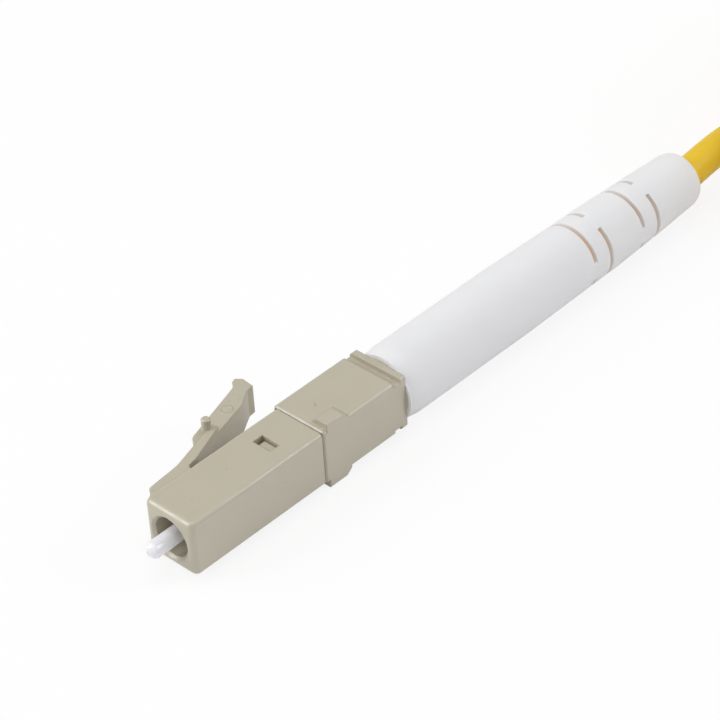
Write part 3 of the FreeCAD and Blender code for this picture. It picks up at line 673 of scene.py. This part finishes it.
def add_boot():
    """The boot: closer to the grip, a little shorter behind its last slot and rounded over."""
    work = solid_mesh("strain_relief_boot")
    front = BOOT_FRONT_X - NEAR_FACE * MM
    for back in FRONT_CUTS:
        bmesh.ops.bisect_plane(work, geom=work.verts[:] + work.edges[:] + work.faces[:],
                               dist=SAME_POINT, plane_co=(BOOT_FRONT_X - back * MM, 0, 0),
                               plane_no=(1, 0, 0))
    for point in work.verts:
        behind = (point.co.x - BOOT_END_X) / MM
        radius = off_axis(point)
        if radius > SKIN_FROM:
            if behind < NEAR_FACE:
                widen(point, END_RIM / radius)
            else:
                moves = [move for reach, move in END_RINGS if behind < reach]
                point.co.x += moves[0] * MM if moves else 0.0
        if behind < END_LENGTH:
            point.co.x += BOOT_SHORTER * MM
        ahead = (point.co.x - BOOT_FRONT_X) / MM + FRONT_CUTS[-1]
        if ahead > SLIVER and radius > FRONT_SKIN:
            widen(point, 1 - (RING_NARROWER if ahead < RIM_START else RIM_NARROWER))
        if point.co.x > front:
            point.co.x += BOOT_CLOSER * MM
        share = (BOOT_END_X + SWELL_START * MM - point.co.x) / (SWELL_LENGTH * MM)
        share = min(1.0, max(0.0, share))
        widen(point, 1 + SWELL * share, LIFT * MM * share**2)
    piece = piece_from(work, "boot_shell", NODE_MATERIALS["strain_relief_boot"])
    round_edges(piece, BOOT_EDGE, BOOT_SHORTEST_EDGE, front)
    even_shading(piece, ROUND_SMOOTH_DEG)
    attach(piece, "connector_body")
    stand_for(piece, "strain_relief_boot")


# The round at the ferrule's tip, as it comes and as it is made, in mm.
CAD_TIP_ROUND, TIP_ROUND = 0.45, 0.55
FERRULE_HALF = 0.6245


def add_ferrule():
    """The ferrule, with its tip turned to a fuller round."""
    work = solid_mesh("ferrule")
    for point in work.verts:
        depth = (HIGH.x - point.co.x) / MM
        radius = off_axis(point)
        if depth < CAD_TIP_ROUND and radius > FERRULE_HALF - CAD_TIP_ROUND - SLIVER:
            rise = 1 - depth / CAD_TIP_ROUND
            new = FERRULE_HALF - TIP_ROUND * (1 - math.sqrt(max(0.0, 1 - rise * rise)))
            point.co.x = HIGH.x - TIP_ROUND * (1 - rise) * MM
            widen(point, new / radius)
    piece = piece_from(work, "ferrule_rod", NODE_MATERIALS["ferrule"])
    even_shading(piece, ROUND_SMOOTH_DEG)
    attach(piece, "ferrule_carrier")
    stand_for(piece, "ferrule")


# A strap's thickness, the radius it takes round the hank's corners, and its steps round each.
STRAP_WALL, STRAP_TURN, CORNER_STEPS = 0.38 * MM, 1.1 * MM, 6
# Its start, as shares of the top's width, how many of its points it goes over again, and how
# much of a corner it takes to climb over itself.
STRAP_START, STRAP_OVER, STRAP_CLIMB = (0.35, 0.5, 0.62), 9, 0.3
# Its thin sides, as (how far in from the side, share of the thickness), and how it sways.
STRAP_SIDES = ((0.0, 0.3), (0.2 * MM, 0.5))
STRAP_SWAY, SWAY_STEP = 0.12 * MM, 0.55


def tie_path(low, high):
    """The strap's middle line along the cable: once round the hank and on over its own start."""
    wall, turn, path = STRAP_WALL, STRAP_TURN, []
    low_y, high_y = low.y + wall / 2, high.y - wall / 2
    low_z, high_z = low.z + wall / 2, high.z - wall / 2
    corners = ((high_y, high_z, 0), (high_y, low_z, -90), (low_y, low_z, 180), (low_y, high_z, 90))
    for y, z, first in corners:
        centre_y = y + (turn if y == low_y else -turn)
        centre_z = z + (turn if z == low_z else -turn)
        for step in range(CORNER_STEPS + 1):
            angle = math.radians(first + 90 - 90 / CORNER_STEPS * step)
            path.append((centre_y + turn * math.cos(angle), centre_z + turn * math.sin(angle)))
    start = [(low_y + (high_y - low_y) * share, high_z) for share in STRAP_START]
    lifted = [(y, z + wall * min(1.0, 0.5 * n)) for n, (y, z) in enumerate(start)]
    over, climb = [], turn * STRAP_CLIMB
    for y, z in path[:STRAP_OVER]:
        out_y = wall * min(1.0, max(0.0, (y - high_y + turn) / climb))
        out_z = wall if z > high_z - turn + climb else 0.0
        over.append((y + out_y, z + out_z))
    return start[:1] + path + lifted + over


def add_tie(node):
    """A hook and loop strap wrapped round one side of the hank and on over its own start."""
    low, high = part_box(node)
    path = tie_path(low, high)
    half_x, middle_x = (high.x - low.x) / 2, (high.x + low.x) / 2
    side = [(half_x - inset, lift) for inset, lift in STRAP_SIDES]
    profile = [(-x, -lift) for x, lift in side] + [(x, -lift) for x, lift in side[::-1]]
    profile += [(x, lift) for x, lift in side] + [(-x, lift) for x, lift in side[::-1]]
    work, rings = bmesh.new(), []
    for n, (y, z) in enumerate(path):
        before, after = path[max(0, n - 1)], path[min(len(path) - 1, n + 1)]
        run = Vector((0, after[0] - before[0], after[1] - before[1])).normalized()
        out = Vector((0, -run.z, run.y))
        middle = Vector((middle_x + STRAP_SWAY * math.sin(n * SWAY_STEP), y, z))
        rings.append([
            work.verts.new(middle + Vector((x, 0, 0)) + out * lift * STRAP_WALL)
            for x, lift in profile
        ])
    for first, second in zip(rings, rings[1:]):
        for k in range(len(profile)):
            m = (k + 1) % len(profile)
            work.faces.new((first[k], first[m], second[m], second[k]))
    work.faces.new(rings[0][::-1])
    work.faces.new(rings[-1])
    bmesh.ops.recalc_face_normals(work, faces=work.faces)
    piece = piece_from(work, node.replace("hank_tie", "tie_strap"), NODE_MATERIALS[node])
    even_shading(piece, STRAP_SMOOTH_DEG)
    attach(piece, "connector_body")
    stand_for(piece, node)
    return piece


add_plug()
add_rear()
add_boot()
add_ferrule()
ties = [add_tie("hank_tie_near"), add_tie("hank_tie_far")]

# ---------------------------------------------------------------- room and light

FLOOR_HALF, FLOOR_TONE, FLOOR_ROUGH, FLOOR_GLOSS = 1.5, (0.9, 0.9, 0.9), 0.9, 0.1
# How far the floor goes to plain white where it is seen, and where it is mirrored.
FLOOR_WHITE, FLOOR_SHINE = 0.85, 0.4
# The light from all round, and where the lamps aim.
WORLD_STRENGTH = 0.47
MIDDLE = at(20, 0, 0)
# Each lamp's place from the middle and its size, in metres, its power and its colour.
WHITE, COOL = (1.0, 1.0, 1.0), (0.93, 0.94, 1.0)
LAMPS = {
    "key": ((0.49, -0.44, 0.45), 0.5, 2.9, WHITE),
    "edge": ((-0.45, 0.49, 0.45), 0.3, 1.45, COOL),
    "top": ((0.0, 0.0, 0.8), 0.5, 1.6, WHITE),
}


def add_floor():
    """A pale floor that keeps the shadow and goes to white where the camera sees it."""
    mesh = bpy.data.meshes.new("floor")
    half = FLOOR_HALF
    corners = [(-half, -half, 0), (half, -half, 0), (half, half, 0), (-half, half, 0)]
    mesh.from_pydata(corners, [], [(0, 1, 2, 3)])
    floor = bpy.data.objects.new("floor", mesh)
    bpy.context.scene.collection.objects.link(floor)
    shader = Shader("floor")
    shader.set(Base_Color=FLOOR_TONE, Roughness=FLOOR_ROUGH, Specular_IOR_Level=FLOOR_GLOSS)
    rays = shader.node("ShaderNodeLightPath").outputs
    seen = shader.math("MULTIPLY", rays["Is Camera Ray"], FLOOR_WHITE)
    shine = shader.math("MULTIPLY", rays["Is Glossy Ray"], FLOOR_SHINE)
    share = shader.math("MAXIMUM", seen, shine)
    glow = shader.node("ShaderNodeEmission", {"Color": (*WHITE, 1), "Strength": 1.0}).outputs[0]
    both = shader.node("ShaderNodeMixShader", {0: share, 1: shader.surface.outputs[0], 2: glow})
    output = shader.tree.nodes["Material Output"]
    shader.tree.links.new(both.outputs[0], output.inputs["Surface"])
    mesh.materials.append(shader.material)


def add_lamp(name, offset, size, power, colour):
    """A round soft lamp that looks at the middle."""
    lamp = bpy.data.objects.new(name, bpy.data.lights.new(name, "AREA"))
    lamp.data.color = colour
    lamp.data.shape = "DISK"
    lamp.data.size = size
    lamp.data.energy = power
    lamp.location = MIDDLE + Vector(offset)
    lamp.rotation_euler = Vector(offset).to_track_quat("Z", "Y").to_euler()
    bpy.context.scene.collection.objects.link(lamp)


def add_world():
    """A plain white room, which is full white only where the camera sees it."""
    world = bpy.data.worlds.new("studio")
    world.use_nodes = True
    tree = world.node_tree
    background = tree.nodes["Background"]
    rays = tree.nodes.new("ShaderNodeLightPath")
    level = tree.nodes.new("ShaderNodeMapRange")
    level.inputs["To Min"].default_value = WORLD_STRENGTH
    level.inputs["To Max"].default_value = 1.0
    tree.links.new(rays.outputs["Is Camera Ray"], level.inputs["Value"])
    tree.links.new(level.outputs["Result"], background.inputs["Strength"])
    background.inputs["Color"].default_value = (*WHITE, 1)
    bpy.context.scene.world = world


add_floor()
add_world()
for lamp_name, settings in LAMPS.items():
    add_lamp(lamp_name, *settings)
bpy.context.scene.view_settings.view_transform = "Standard"
